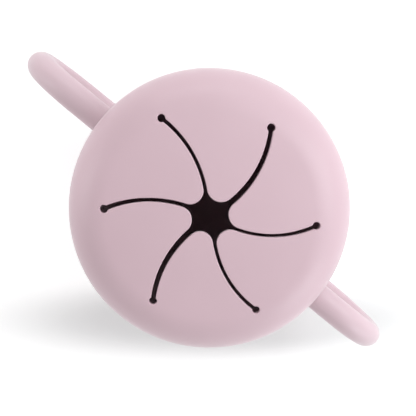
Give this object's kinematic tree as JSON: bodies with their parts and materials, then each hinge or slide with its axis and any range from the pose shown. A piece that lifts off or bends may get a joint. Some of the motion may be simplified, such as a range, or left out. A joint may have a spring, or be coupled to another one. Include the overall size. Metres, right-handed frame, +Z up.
{
  "type": "toddler snack cup",
  "caption": "Soft snack cup with two loop handles and a domed pull-off lid whose curved slits form flaps that let a small hand reach in.",
  "frame": {"origin": "middle of the foot, on the surface that the cup stands on", "axes": "+Z up along the cup's axis, +X through the right handle, +Y at right angles to the handles"},
  "size_m": [0.161, 0.09, 0.0875],
  "materials": {
    "cup_silicone": "matte moulded silicone, dusty pink",
    "lid_silicone": "matte moulded silicone, dusty pink"
  },
  "bodies": {
    "cup": {"cup_body": "cup_silicone", "left_handle": "cup_silicone", "right_handle": "cup_silicone"},
    "lid": {"lid_shell": "lid_silicone"},
    "flap_1": {"flap_1": "lid_silicone"},
    "flap_2": {"flap_2": "lid_silicone"},
    "flap_3": {"flap_3": "lid_silicone"},
    "flap_4": {"flap_4": "lid_silicone"},
    "flap_5": {"flap_5": "lid_silicone"},
    "flap_6": {"flap_6": "lid_silicone"}
  },
  "joints": [
    {"name": "lid_lift", "type": "slide", "parent": "cup", "child": "lid", "axis": [0, 0, 1], "range_m": [0, 0.06]},
    {"name": "flap_1_bend", "type": "hinge", "parent": "lid", "child": "flap_1", "pos_m": [0.0116, 0.02488, 0.08522], "axis": [0.9063, -0.4226, 0], "range_deg": [-30, 70], "stiffness_Nm_per_rad": 0.02},
    {"name": "flap_2_bend", "type": "hinge", "parent": "lid", "child": "flap_2", "pos_m": [-0.01575, 0.02249, 0.08522], "axis": [0.8192, 0.5736, 0], "range_deg": [-30, 70], "stiffness_Nm_per_rad": 0.02},
    {"name": "flap_3_bend", "type": "hinge", "parent": "lid", "child": "flap_3", "pos_m": [-0.02735, -0.00239, 0.08522], "axis": [-0.0872, 0.9962, 0], "range_deg": [-30, 70], "stiffness_Nm_per_rad": 0.02},
    {"name": "flap_4_bend", "type": "hinge", "parent": "lid", "child": "flap_4", "pos_m": [-0.0116, -0.02488, 0.08522], "axis": [-0.9063, 0.4226, 0], "range_deg": [-30, 70], "stiffness_Nm_per_rad": 0.02},
    {"name": "flap_5_bend", "type": "hinge", "parent": "lid", "child": "flap_5", "pos_m": [0.01575, -0.02249, 0.08522], "axis": [-0.8192, -0.5736, 0], "range_deg": [-30, 70], "stiffness_Nm_per_rad": 0.02},
    {"name": "flap_6_bend", "type": "hinge", "parent": "lid", "child": "flap_6", "pos_m": [0.02735, 0.00239, 0.08522], "axis": [0.0872, -0.9962, 0], "range_deg": [-30, 70], "stiffness_Nm_per_rad": 0.02}
  ]
}
